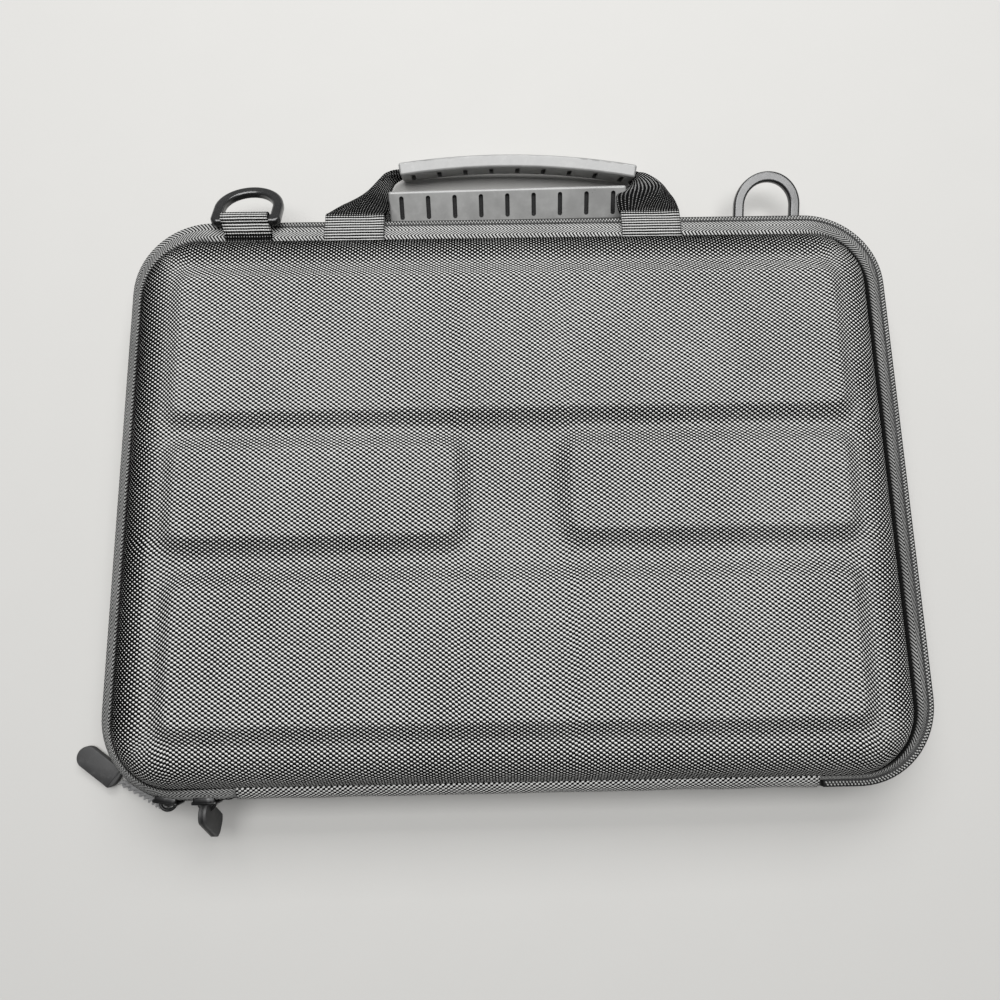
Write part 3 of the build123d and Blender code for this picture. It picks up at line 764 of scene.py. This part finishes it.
class CASE_OT_hinge(bpy.types.Operator):
    """Fabric strip of the hinge, outside and inside"""

    bl_idname = "case.hinge"
    bl_label = "Fabric Hinge"

    def execute(self, context):
        strips = (
            ("hinge_strip_weave", "strip", "woven_cover", "hinge_strip", 0.9, STRIP_PROFILE),
            ("hinge_lining_knit", "lining", "lining", "hinge_lining", 0.6, LINING_PROFILE),
        )
        for name, finish, slot, node, thickness, profile in strips:
            mesh_data, flat = hinge_mesh(profile)
            piece = new_piece(name, mesh_data, finish, slot, None, (node,), thickness=thickness, offset=1.0)
            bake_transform(piece)
            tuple(BEND_LOW)
            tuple(BEND_HIGH)
        return {"FINISHED"}


# ---- webbing ----
TAB_X = {"left": -65.7, "right": 60.2}
# Each grip's middle, its turn about Z and its lean about X in degrees.
GRIP_PLACES = {"front": ((4.8, 153.1, 10.0), -1.35, 21.5), "rear": ((-0.2, 134.4, 7.3), 0.9, -56.0)}
# (Y, Z) along each strap's sewn tab.
STRAP_TABS = {
    "front": [(103.0, 28.2), (105.0, 29.0), (110.0, 29.2), (114.5, 28.6), (118.4, 27.7)],
    "rear": [(103.0, 15.8), (105.0, 15.0), (110.0, 14.4), (114.5, 14.2), (117.6, 13.9)],
}
# Left selvage, fold and right selvage of each strap from its tab to the grip.
STRAP_LEGS = (
    ("front", "left", (
        [(-77.6, 121.6, 24.0), (-71.6, 128.2, 20.0), (-65.0, 133.6, 15.5),
         (-59.0, 141.0, 10.5), (-54.0, 148.6, 6.5), (-46.0, 152.6, 4.2)],
        [(-65.0, 124.0, 25.6), (-62.4, 130.5, 23.0), (-60.2, 137.6, 19.4),
         (-57.6, 143.8, 16.4), (-54.0, 148.2, 14.4), (-46.0, 148.9, 13.2)],
        [(-52.9, 122.0, 23.0), (-52.9, 128.0, 17.5), (-52.9, 134.5, 13.0),
         (-52.6, 141.0, 9.0), (-51.0, 147.0, 5.6), (-46.0, 151.6, 3.6)],
    )),
    ("front", "right", (
        [(47.7, 121.0, 23.5), (47.4, 128.0, 20.4), (48.6, 133.0, 16.6),
         (52.5, 138.5, 11.0), (56.0, 144.0, 6.4), (55.6, 149.2, 3.6)],
        [(62.5, 124.0, 25.6), (66.6, 130.0, 23.4), (69.0, 136.4, 19.8),
         (66.6, 142.0, 16.8), (62.0, 145.9, 14.6), (55.6, 146.6, 13.2)],
        [(73.6, 121.0, 24.0), (73.2, 128.0, 20.0), (71.5, 135.0, 15.5),
         (68.0, 142.0, 10.5), (63.0, 148.0, 6.5), (55.6, 150.2, 4.2)],
    )),
    ("rear", "left", (
        [(-72.0, 121.6, 11.6), (-63.0, 125.4, 9.0), (-51.0, 127.0, 7.4)],
        [(-62.8, 122.8, 14.8), (-57.8, 128.8, 15.2), (-51.0, 135.6, 13.7)],
        [(-53.6, 120.8, 12.4), (-53.4, 124.4, 10.6), (-51.0, 127.6, 8.6)],
    )),
    ("rear", "right", (
        [(50.8, 120.8, 12.4), (52.6, 124.8, 10.6), (50.7, 128.6, 8.6)],
        [(60.0, 122.8, 14.8), (56.8, 129.8, 15.2), (50.7, 137.2, 13.7)],
        [(69.6, 121.6, 11.6), (62.6, 126.0, 9.0), (50.7, 128.2, 7.4)],
    )),
)
# Where each strap starts and ends its bend between shell and handle, in metres.
STRAP_BENDS = {
    "front": ((0, 0.1068, 0.029), (0, 0.1360, 0.018)),
    "rear": ((0, 0.1068, 0.0151), (0, 0.1250, 0.0151)),
}


def strap_mesh(guides, rows, columns=12, crease=0.16):
    """Webbing between three guide curves: one selvage, the fold's ridge and the other selvage."""
    lengths = run_lengths([spline_point(guides[1], j / rows) for j in range(rows + 1)])

    def place(i, j):
        share = j / rows
        left, ridge, right = (spline_point(guide, share) for guide in guides)
        a = 2 * i / columns - 1
        side = left if a < 0 else right
        flat = ridge.lerp(side, abs(a))
        mean = (left + right) / 2
        return flat.lerp(mean, crease * (1 - abs(a)) ** 3 * smooth(share, 0.15, 0.5))

    def cloth(i, j):
        return WEBBING * i / columns, lengths[j]

    # Painted shade on the legs, which lean away from the light, a little less near the grip.
    def shade(corner, i, j):
        share = j / rows
        return smooth(share, 0.33, 0.43) * (1 - 0.4 * smooth(share, 0.6, 0.8))

    return sheet(columns, rows, place, cloth, shade=shade)


def tab_guides(x, tab, legs):
    """Guides of a strap that starts as a flat tab centred on x and goes on through the points of legs."""
    shifts = (-WEBBING / 2, 0.0, WEBBING / 2)
    return [[(x + shift, y, z) for y, z in tab] + points for shift, points in zip(shifts, legs)]


def strap_run_mesh(place, length=103.0, thick=2.2, tall=10.6, bow=352.0):
    """The folded strap's run through a grip, bowed like the grip."""
    mesh_data = bmesh.new()
    bmesh.ops.create_cube(mesh_data, size=1.0)
    bmesh.ops.scale(mesh_data, vec=(length, thick, tall), verts=mesh_data.verts)
    along = [edge for edge in mesh_data.edges if abs(edge.verts[0].co.x - edge.verts[1].co.x) > 1]
    bmesh.ops.subdivide_edges(mesh_data, edges=along, cuts=19, use_grid_fill=True)
    for vertex in mesh_data.verts:
        turn, reach = vertex.co.x / bow, bow + vertex.co.y
        vertex.co.x, vertex.co.y = reach * math.sin(turn), reach * math.cos(turn) - bow
    bmesh.ops.transform(mesh_data, matrix=place, verts=mesh_data.verts)
    return mesh_data


class CASE_OT_straps(bpy.types.Operator):
    """Webbing straps of the two handles, sewn to the shells and folded into the grips"""

    bl_idname = "case.straps"
    bl_label = "Handle Straps"

    def execute(self, context):
        shells, rows = {"front": "lid", "rear": "base"}, {"front": 60, "rear": 40}
        for half, side, legs in STRAP_LEGS:
            guides = tab_guides(TAB_X[side], STRAP_TABS[half], legs)
            strap = new_piece(
                f"{half}_strap_{side}", strap_mesh(guides, rows[half]), "webbing", "webbing", None,
                (f"{half}_strap",), thickness=1.3,
            )
            shells[half]
            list(STRAP_BENDS[half])
            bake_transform(strap)
        for half, (middle, turn, lean) in GRIP_PLACES.items():
            place = (
                Matrix.Translation(middle)
                @ Matrix.Rotation(math.radians(turn), 4, "Z")
                @ Matrix.Rotation(math.radians(lean), 4, "X")
            )
            # The strap really runs inside each grip, but its run is finished near black: painted shade seen
            # through the grip's slots.
            new_piece(
                f"{half}_strap_run", strap_run_mesh(place), "folded", "webbing", f"{half}_handle",
                (f"{half}_strap",),
            )
        return {"FINISHED"}


# Side, X of its middle, (Y, Z) of the ring's bar, height where it is sewn, turn in degrees,
# how far the sewn end is set aside, body, and whether its outside faces down.
RING_TABS = (
    ("left", -111.4, (114.8, 30.0), 29.4, 0.0, 1.6, "lid", False),
    ("right", 115.6, (119.8, 11.2), 14.2, -4.0, 0.0, "base", True),
)
LOOP_RADIUS, LOOP_TURNS = 3.4, (150, 115, 80, 40, 0, -40, -80, -115, -150)


def loop_path(bar, tail_z, start, down):
    """Section of a tab: in along one layer, round the ring's bar and back along the other."""
    y, z = bar
    sign = -1 if down else 1
    sewn, edge, neck = start - 1.5, start + 1.5, y - 5.4
    over = [(sewn, tail_z + sign * 0.4), (edge, tail_z + sign * 0.9), (neck, z + sign * 1.6)]
    loop = []
    for turn in map(math.radians, LOOP_TURNS):
        loop.append((y + LOOP_RADIUS * math.cos(turn), z + sign * LOOP_RADIUS * math.sin(turn)))
    under = [(neck, z - sign), (edge, tail_z - sign * 0.45), (sewn, tail_z - sign * 0.5)]
    return over + loop + under


class CASE_OT_ring_tabs(bpy.types.Operator):
    """Webbing loops that hold the two strap rings"""

    bl_idname = "case.ring_tabs"
    bl_label = "Ring Tabs"

    def execute(self, context):
        for side, middle, bar, tail_z, turn, skew, body, down in RING_TABS:
            path = [(0.0, y, z) for y, z in loop_path(bar, tail_z, RIM_HIGH[1], down)]
            columns, rows = 8, 84
            spots = [spline_point(path, j / rows) for j in range(rows + 1)]
            lengths = run_lengths(spots)

            def place(i, j):
                spot = spots[j]
                reach = smooth(spot.y, 107.0, bar[0])
                x = (i / columns - 0.5) * RING_WEBBING
                lean = math.radians(turn) * reach
                return Vector((
                    middle + x * math.cos(lean) + skew * (1 - reach),
                    spot.y - x * math.sin(lean),
                    spot.z,
                ))

            def cloth(i, j):
                return RING_WEBBING * i / columns, lengths[j]

            # Painted shade beyond the ring's bar, where the loop turns away, and on the tail by the rim.
            def shade(corner, i, j):
                fold = smooth(spots[j].y, bar[0] + 1.5, bar[0] + 3.0)
                return max(fold, smooth(-spots[j].y, -109.0, -107.0))

            mesh_data = sheet(columns, rows, place, cloth, flip=down, shade=shade)
            new_piece(
                f"ring_{side}_webbing", mesh_data, "webbing", "webbing", body, (f"ring_{side}_tab",),
                thickness=1.1,
            )
        return {"FINISHED"}


# ---- sliders and pulls ----
SLIDER_A_TURN = -10  # degrees round the zip's corner
SLIDER_B_X, BAIL_REACH = -118.2, 3.7
PULL_A_NEAR, PULL_A_FAR = Vector((-160.9, -113.6, 2.4)), Vector((-177.6, -101.4, 2.4))
PULL_B_LEAN, PULL_B_DROP = -28, (0, -1.6, -15.5)  # degrees, and from the bail to the pull's foot
# From slider A's bail down to the floor and along it into the pull.
CORD_ROUTE = (
    (-133.0, -120.2, 21.4), (-136.4, -121.6, 16.5), (-143.6, -120.4, 9.6), (-152.0, -117.6, 4.4),
    (-160.0, -114.2, 2.4),
)
STRAND_RADIUS, LAY = 0.75, 6.0


def slider_mesh(place):
    """Slider at the origin on a zip along X with its outside facing -Y: plate, lips and bail."""
    mesh_data = bmesh.new()
    wire, bail_reach, bail_y = 0.62, 3.1, -1.1
    blocks = (  # sides, middle and edge radius
        ((9.6, 1.4, 8.2), (0, -0.95, 0), 0.65),
        ((8.2, 2.4, 1.2), (0, 0.1, 3.6), 0.5),
        ((8.2, 2.4, 1.2), (0, 0.1, -3.6), 0.5),
        ((2.2, 1.4, 2.0), (0, -2.0, 0), 0.4),
    )
    for sides, middle, round_edge in blocks:
        block = bmesh.new()
        bmesh.ops.create_cube(block, size=1.0)
        bmesh.ops.scale(block, vec=sides, verts=block.verts)
        bmesh.ops.translate(block, vec=middle, verts=block.verts)
        bmesh.ops.bevel(block, geom=block.edges[:], offset=round_edge, segments=3, profile=0.5,
                        affect="EDGES", material=-1)
        join(mesh_data, block)
    bail = bmesh.new()
    bmesh.ops.create_circle(bail, segments=10, radius=wire)
    upright = Matrix.Rotation(math.radians(90), 3, "X")
    bmesh.ops.rotate(bail, cent=(0, 0, 0), matrix=upright, verts=bail.verts)
    bmesh.ops.translate(bail, vec=(-bail_reach, bail_y, 0), verts=bail.verts)
    bmesh.ops.spin(bail, geom=bail.verts[:] + bail.edges[:], cent=(0, bail_y, 0), axis=(0, 0, 1),
                   angle=math.radians(180), steps=16, use_merge=False)
    bmesh.ops.recalc_face_normals(bail, faces=bail.faces)
    join(mesh_data, bail)
    bmesh.ops.transform(mesh_data, matrix=place, verts=mesh_data.verts)
    return mesh_data


def join(mesh_data, other):
    """Adds another mesh to this one."""
    mesh = bpy.data.meshes.new("part")
    other.to_mesh(mesh)
    other.free()
    mesh_data.from_mesh(mesh)
    bpy.data.meshes.remove(mesh)


def route_line(route, resolution=24):
    """Points along the smooth line of a cord's route, both in millimetres."""
    line = bpy.data.curves.new("route", "CURVE")
    line.dimensions = "3D"
    spline = line.splines.new("NURBS")
    spline.points.add(len(route) - 1)
    for point, spot in zip(spline.points, route):
        point.co = (*spot, 1.0)
    spline.order_u, spline.use_endpoint_u, spline.resolution_u = 3, True, resolution
    holder = bpy.data.objects.new("route", line)
    mesh = bpy.data.meshes.new_from_object(holder)
    spots = [vertex.co.copy() for vertex in mesh.vertices]
    bpy.data.objects.remove(holder)
    bpy.data.curves.remove(line)
    bpy.data.meshes.remove(mesh)
    return spots


def strand_mesh(spots, radius, lay, start, around=8):
    """One strand of a twisted pair that winds round a line."""
    steps = len(spots) - 1
    lengths = run_lengths(spots)

    def place(i, j):
        heading = (spots[min(j + 1, steps)] - spots[max(j - 1, 0)]).normalized()
        side = heading.cross(Vector((0, 0, 1))).normalized()
        lift = side.cross(heading)
        turn = start + 2 * math.pi * lengths[j] / lay
        middle = spots[j] + (side * math.cos(turn) + lift * math.sin(turn)) * radius
        around_turn = -2 * math.pi * i / around
        return middle + (side * math.cos(around_turn) + lift * math.sin(around_turn)) * radius

    mesh_data = sheet(around, steps, place)
    bmesh.ops.remove_doubles(mesh_data, verts=mesh_data.verts, dist=0.001)
    bmesh.ops.recalc_face_normals(mesh_data, faces=mesh_data.faces)
    return mesh_data


class CASE_OT_pulls(bpy.types.Operator):
    """Sliders, their rubber pulls with a sunk field and the twisted cord"""

    bl_idname = "case.pulls"
    bl_label = "Sliders and Pulls"

    def execute(self, context):
        corner = Matrix.Translation((ZIP_LOW[0] + ZIP_RADIUS, ZIP_LOW[1] + ZIP_RADIUS, PARTING))
        round_corner = Matrix.Rotation(math.radians(SLIDER_A_TURN), 4, "Z")
        slider_a = corner @ round_corner @ Matrix.Translation((0, -ZIP_RADIUS, 0))
        slider_b = Matrix.Translation((SLIDER_B_X, ZIP_LOW[1], PARTING))
        along = (PULL_A_FAR - PULL_A_NEAR).normalized()
        pull_a = Matrix.Translation(PULL_A_NEAR) @ along.to_track_quat("X", "Z").to_matrix().to_4x4()
        pull_b = (
            Matrix.Translation((SLIDER_B_X, ZIP_LOW[1] - BAIL_REACH, PARTING))
            @ Matrix.Rotation(math.radians(PULL_B_LEAN), 4, "X")
            @ Matrix.Translation(PULL_B_DROP)
            @ Matrix.Rotation(math.radians(-90), 4, "Y")
        )
        for name, slider, pull in (("a", slider_a, pull_a), ("b", slider_b, pull_b)):
            new_piece(
                f"slider_{name}_body", slider_mesh(slider), "metal", "slider", f"slider_{name}",
                (f"slider_{name}",),
            )
            new_piece(
                f"pull_{name}_rubber", pull_mesh(pull), "rubber", "pull_rubber", f"pull_{name}",
                (f"pull_{name}_tab",),
            )
        spots = route_line(CORD_ROUTE)
        twist = strand_mesh(spots, STRAND_RADIUS, LAY, 0.0)
        join(twist, strand_mesh(spots, STRAND_RADIUS, LAY, math.pi))
        cord = new_piece("pull_a_twisted_cord", twist, "cord", "pull_cord", "pull_a", ("pull_a_cord",))
        return {"FINISHED"}


def pull_mesh(place):
    """Rubber tab along +X from the origin: round far end, sunk field on both faces."""
    length, width, thick = 20.0, 8.7, 4.0
    border, field_slope, field_sink, edge_radius = 1.15, 0.3, 0.45, 0.45
    mesh_data = bmesh.new()
    bmesh.ops.create_circle(mesh_data, cap_ends=True, segments=40, radius=width / 2)
    for vertex in mesh_data.verts:
        x, y = vertex.co.x, vertex.co.y
        if x > 1e-4:
            vertex.co.x = x + length - width / 2
        else:
            squash = 1 - (abs(y) / (width / 2)) ** 4
            vertex.co.x = 1.6 - 1.6 * squash
            vertex.co.y = y * (0.9 + 0.1 * (1 - squash)) if x < -1e-4 else y
    top = mesh_data.faces[:]
    rim = bmesh.ops.inset_region(mesh_data, faces=top, thickness=border, depth=0.0)
    bmesh.ops.translate(mesh_data, vec=(0, 0, thick / 2), verts=mesh_data.verts)
    field = [face for face in mesh_data.faces if face not in rim["faces"]]
    bmesh.ops.inset_region(mesh_data, faces=field, thickness=field_slope, depth=-field_sink)
    boundary = [edge for edge in mesh_data.edges if edge.is_boundary]
    wall = bmesh.ops.extrude_edge_only(mesh_data, edges=boundary)
    low = [item for item in wall["geom"] if isinstance(item, bmesh.types.BMVert)]
    bmesh.ops.translate(mesh_data, vec=(0, 0, -thick / 2), verts=low)
    bmesh.ops.mirror(mesh_data, geom=mesh_data.verts[:] + mesh_data.edges[:] + mesh_data.faces[:],
                     axis="Z", merge_dist=0.001)
    bmesh.ops.remove_doubles(mesh_data, verts=mesh_data.verts, dist=0.001)
    bmesh.ops.recalc_face_normals(mesh_data, faces=mesh_data.faces)
    sharp = [edge for edge in mesh_data.edges if edge.calc_face_angle(0) > 0.6]
    bmesh.ops.bevel(mesh_data, geom=sharp, offset=edge_radius, segments=3, profile=0.5,
                    affect="EDGES", material=-1)
    bmesh.ops.transform(mesh_data, matrix=place, verts=mesh_data.verts)
    return mesh_data


# ---- finishes ----
CAD_FINISHES = {
    "front_core": "foam", "back_core": "foam", "front_lining": "lining", "back_lining": "lining",
    "front_binding": "binding", "back_binding": "binding", "zip_end_stops": "stop",
    "corner_straps": "elastic", "front_grip": "grip", "rear_grip": "grip", "ring_left": "ring",
    "ring_right": "ring", "pull_b_cord": "cord",
}


class CASE_OT_finishes(bpy.types.Operator):
    """Materials of every piece"""

    bl_idname = "case.finishes"
    bl_label = "Finishes"

    def execute(self, context):
        sizes, paint = context.scene.case_sizes, context.scene.case_colours
        dark = (0.015, 0.015, 0.015)
        FINISHES.update(
            cover=woven_nylon(
                "woven cover", paint.yarn, paint.yarn_gap, sizes.mm("weave_warp"), sizes.mm("weave_weft"),
            ),
            strip=woven_nylon("hinge weave", [c * 0.9 for c in paint.yarn], paint.yarn_gap, 1.0, 0.8, 0.2),
            tape=herringbone("zip tape", paint.tape, (0.006, 0.006, 0.006)),
            webbing=ribbed("webbing", paint.webbing, (0.005, 0.005, 0.005), sizes.mm("webbing_rib")),
            elastic=ribbed("elastic", (0.05, 0.05, 0.05), dark, 0.9),
            binding=moulded("binding tape", (0.05, 0.05, 0.05), 0.85, 0.2, 1200.0, 0.0, sheen_weight=0.4),
            teeth=moulded("zip teeth", paint.teeth, 0.35, 0.02, 1500.0, 0.2),
            core=moulded("zip core", (0.004, 0.004, 0.004), 0.7, 0.05, 1500.0, 0.0),
            stop=moulded("zip stop", (0.06, 0.06, 0.06), 0.4),
            grip=moulded("grip moulding", paint.grip, 0.34, 0.02, 1300.0, 0.12, ior=1.6),
            ring=moulded("ring moulding", paint.ring, 0.22, 0.01, 1500.0, 0.05, ior=1.7),
            metal=moulded("slider metal", paint.metal, 0.35, 0.02, 900.0, 0.5, metallic=0.7),
            rubber=moulded("pull rubber", paint.rubber, 0.55, 0.05, 1200.0, 0.25),
            cord=moulded("pull cord", (0.16, 0.16, 0.16), 0.6, 0.2, 2500.0, 0.1, sheen_weight=0.3),
            lining=knitted("brushed lining", paint.lining),
            foam=foam("foam core", (0.05, 0.05, 0.05)),
            # Near black webbing for the runs inside the grips: painted shade.
            folded=knitted("webbing in painted grip shade", (0.006, 0.006, 0.006)),
            floor=floor_finish(paint.floor),
        )
        return {"FINISHED"}


def floor_finish(base):
    stuff = Finish("plain floor", roughness=0.9)
    place = stuff.object_space()
    lighter = [min(1, c * 1.01) for c in base]
    tint = stuff.mix(stuff.noise(place, 40.0, 3.0), [c * 0.99 for c in base], lighter)
    return stuff.finish(tint, None, stuff.noise(place, 600.0, 2.0), 0.02)


class CASE_OT_hardware(bpy.types.Operator):
    """Finishes of the moulded, cut and cast pieces"""

    bl_idname = "case.hardware"
    bl_label = "Hardware Finishes"

    def execute(self, context):
        for node, finish in CAD_FINISHES.items():
            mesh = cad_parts[node].data
            mesh.materials.clear()
            mesh.materials.append(FINISHES[finish])
        return {"FINISHED"}


# ---- stage ----
CAMERA_SPOT = (-0.0094437, -0.0655361, 0.3314654)
CAMERA_TURNS = ((-0.01780229, "Z"), (0.19119134, "X"), (-0.00668148, "Y"))  # radians
LENS, SENSOR = 28.08, 36.0
LAMPS = (  # name, place and sides in metres, and watts
    ("overhead", (0.0, 0.12, 1.25), (1.3, 0.7), 21.0),
    ("window", (0.0, 0.85, 1.0), (1.2, 0.5), 14.0),
)
SKY, SKY_STRENGTH = (0.95, 0.97, 1.0, 1.0), 0.14


class CASE_OT_stage(bpy.types.Operator):
    """Floor, soft lights and camera"""

    bl_idname = "case.stage"
    bl_label = "Stage"

    def execute(self, context):
        scene = context.scene
        mesh_data = bmesh.new()
        bmesh.ops.create_grid(mesh_data, x_segments=1, y_segments=1, size=3.0)
        mesh = bpy.data.meshes.new("floor")
        mesh_data.to_mesh(mesh)
        mesh_data.free()
        mesh.materials.append(FINISHES["floor"])
        floor = bpy.data.objects.new("floor", mesh)
        scene.collection.objects.link(floor)

        camera = bpy.data.cameras.new("camera")
        camera.lens, camera.sensor_width = LENS, SENSOR
        camera.clip_start = 0.01
        view = bpy.data.objects.new("camera", camera)
        turn = Matrix()
        for radians, axis in CAMERA_TURNS:
            turn = turn @ Matrix.Rotation(radians, 4, axis)
        view.matrix_world = Matrix.Translation(CAMERA_SPOT) @ turn
        scene.collection.objects.link(view)
        scene.camera = view

        for name, spot, sides, power in LAMPS:
            light = bpy.data.lights.new(name, "AREA")
            light.shape, light.energy = "RECTANGLE", power
            light.size, light.size_y = sides
            lamp = bpy.data.objects.new(name, light)
            aim = Vector((spot[0], min(spot[1], 0.12), 0.02)) - Vector(spot)
            turn = aim.to_track_quat("-Z", "Y").to_matrix().to_4x4()
            lamp.matrix_world = Matrix.Translation(spot) @ turn
            scene.collection.objects.link(lamp)
        world = bpy.data.worlds.new("soft daylight")
        world.use_nodes = True
        background = world.node_tree.nodes["Background"].inputs
        background["Color"].default_value, background["Strength"].default_value = SKY, SKY_STRENGTH
        scene.world = world
        scene.view_settings.view_transform = "Standard"
        return {"FINISHED"}


class CASE_PT_panel(bpy.types.Panel):
    """Steps that dress the case"""

    bl_label = "Laptop Case"
    bl_idname = "CASE_PT_panel"
    bl_space_type = "VIEW_3D"
    bl_region_type = "UI"
    bl_category = "Laptop Case"

    def draw(self, context):
        for step in STEPS:
            self.layout.operator(step.bl_idname)
        for group in (context.scene.case_sizes, context.scene.case_colours):
            for name in group.__annotations__:
                self.layout.prop(group, name)


STEPS = (
    CASE_OT_finishes,
    CASE_OT_stage,
    CASE_OT_covers,
    CASE_OT_zip,
    CASE_OT_hinge,
    CASE_OT_straps,
    CASE_OT_ring_tabs,
    CASE_OT_pulls,
    CASE_OT_hardware,
)
CLASSES = (CaseSizes, CaseColours, *STEPS, CASE_PT_panel)


def register():
    for item in CLASSES:
        bpy.utils.register_class(item)
    bpy.types.Scene.case_sizes = bpy.props.PointerProperty(type=CaseSizes)
    bpy.types.Scene.case_colours = bpy.props.PointerProperty(type=CaseColours)


def unregister():
    del bpy.types.Scene.case_colours
    del bpy.types.Scene.case_sizes
    for item in reversed(CLASSES):
        bpy.utils.unregister_class(item)


def main():
    register()
    for step in STEPS:
        group, name = step.bl_idname.split(".")
        getattr(getattr(bpy.ops, group), name)()


if __name__ == "__main__":
    main()
